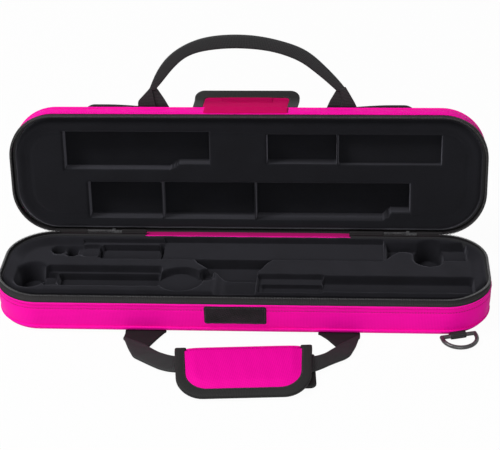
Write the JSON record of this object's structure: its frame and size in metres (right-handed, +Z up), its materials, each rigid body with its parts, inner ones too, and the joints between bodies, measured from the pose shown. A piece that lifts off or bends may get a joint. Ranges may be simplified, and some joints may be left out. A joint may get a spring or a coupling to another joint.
{
  "type": "flute case",
  "caption": "Soft zip-round flute case, shown open, with fitted plush inserts, webbing handles, a grip wrap, a closure flap, an outside pocket and a strap ring",
  "frame": {"origin": "centre of the tray's flat underside, on the surface that the case stands on", "axes": "+X along the length to the strap-ring end, +Y from the front wall to the hinge side, +Z up from the tray's underside"},
  "size_m": [0.4228, 0.2884, 0.2002],
  "materials": {
    "cover_fabric": "diagonal nylon weave, bright magenta pink",
    "lining": "short black plush over foam",
    "shell_board": "stiffening shell, hidden by fabric and lining",
    "zip_tape": "woven black zip tape",
    "zip_teeth": "black coil teeth",
    "webbing": "black nylon webbing",
    "binding": "black binding tape",
    "loop_pile": "fuzzy loop pile",
    "pink_hook": "hook tape in the cover's colour",
    "slider_metal": "zip slider, worn nickel",
    "ring_metal": "black enamel wire"
  },
  "bodies": {
    "base": {"base_side_cover": "cover_fabric", "base_bottom_cover": "cover_fabric", "base_piping": "cover_fabric", "base_frame": "shell_board", "base_insert": "lining", "base_zip_tape": "zip_tape", "base_zip_teeth": "zip_teeth", "loop_patch": "loop_pile", "hinge_bead": "cover_fabric", "hinge_tapes": "zip_tape", "ring_tab": "webbing", "front_anchors": "webbing"},
    "lid": {"lid_side_cover": "cover_fabric", "lid_top_cover": "cover_fabric", "lid_piping": "cover_fabric", "lid_frame": "shell_board", "lid_insert": "lining", "lid_zip_tape": "zip_tape", "lid_zip_teeth": "zip_teeth", "hinge_strip": "cover_fabric", "rear_anchors": "webbing", "pocket_bag": "cover_fabric", "pocket_piping": "binding", "pocket_zip": "zip_tape"},
    "left_slider": {"left_slider": "slider_metal"},
    "left_pull": {"left_pull": "slider_metal"},
    "right_slider": {"right_slider": "slider_metal"},
    "right_pull": {"right_pull": "slider_metal"},
    "strap_ring": {"strap_ring": "ring_metal"},
    "front_handle": {"front_straps": "webbing", "front_grip": "webbing", "wrap_back": "cover_fabric", "wrap_fold": "cover_fabric", "wrap_loop": "loop_pile"},
    "wrap_cover": {"wrap_flap": "cover_fabric", "wrap_binding": "binding", "wrap_hook": "loop_pile"},
    "rear_handle": {"rear_straps": "webbing", "rear_grip": "webbing"},
    "closure_flap": {"flap_panel": "cover_fabric", "flap_binding": "binding", "flap_hook": "pink_hook"},
    "pocket_slider": {"pocket_slider": "slider_metal"},
    "pocket_pull": {"pocket_pull": "slider_metal"}
  },
  "joints": [
    {"name": "lid_hinge", "type": "hinge", "parent": "base", "child": "lid", "pos_m": [0, 0.0551, 0.029], "axis": [1, 0, 0], "range_deg": [-46, 97.4]},
    {"name": "closure_flap_hinge", "type": "hinge", "parent": "lid", "child": "closure_flap", "pos_m": [-0.0035, 0.09809, 0.13676], "axis": [1, 0, 0], "range_deg": [0, 184.8]},
    {"name": "rear_handle_hinge", "type": "hinge", "parent": "lid", "child": "rear_handle", "pos_m": [0, 0.10356, 0.13272], "axis": [-1, 0, 0], "range_deg": [-35, 85]},
    {"name": "front_handle_hinge", "type": "hinge", "parent": "base", "child": "front_handle", "pos_m": [0, -0.057, 0.00175], "axis": [-1, 0, 0], "range_deg": [0, 60]},
    {"name": "wrap_hinge", "type": "hinge", "parent": "front_handle", "child": "wrap_cover", "pos_m": [0.005, -0.09415, 0.00595], "axis": [1, 0, 0], "range_deg": [-100, 0]},
    {"name": "left_slider_slide", "type": "slide", "parent": "base", "child": "left_slider", "axis": [1, 0, 0], "range_m": [-0.019, 0.019]},
    {"name": "left_pull_hinge", "type": "hinge", "parent": "left_slider", "child": "left_pull", "pos_m": [-0.1206, 0.0602, 0.029], "axis": [0, 0, -1], "range_deg": [0, 12]},
    {"name": "right_slider_slide", "type": "slide", "parent": "base", "child": "right_slider", "axis": [1, 0, 0], "range_m": [-0.02, 0.017]},
    {"name": "right_pull_hinge", "type": "hinge", "parent": "right_slider", "child": "right_pull", "pos_m": [0.1424, 0.0602, 0.029], "axis": [0, 0, -1], "range_deg": [0, 12]},
    {"name": "strap_ring_hinge", "type": "hinge", "parent": "base", "child": "strap_ring", "pos_m": [0.18129, -0.05761, 0.00305], "axis": [-0.9659, -0.2588, 0], "range_deg": [-3, 75]},
    {"name": "pocket_slider_slide", "type": "slide", "parent": "lid", "child": "pocket_slider", "axis": [1, 0, 0], "range_m": [0, 0.23]},
    {"name": "pocket_pull_hinge", "type": "hinge", "parent": "pocket_slider", "child": "pocket_pull", "pos_m": [-0.1114, 0.11647, 0.11723], "axis": [0, 0.1288, 0.9917], "range_deg": [0, 170]}
  ]
}
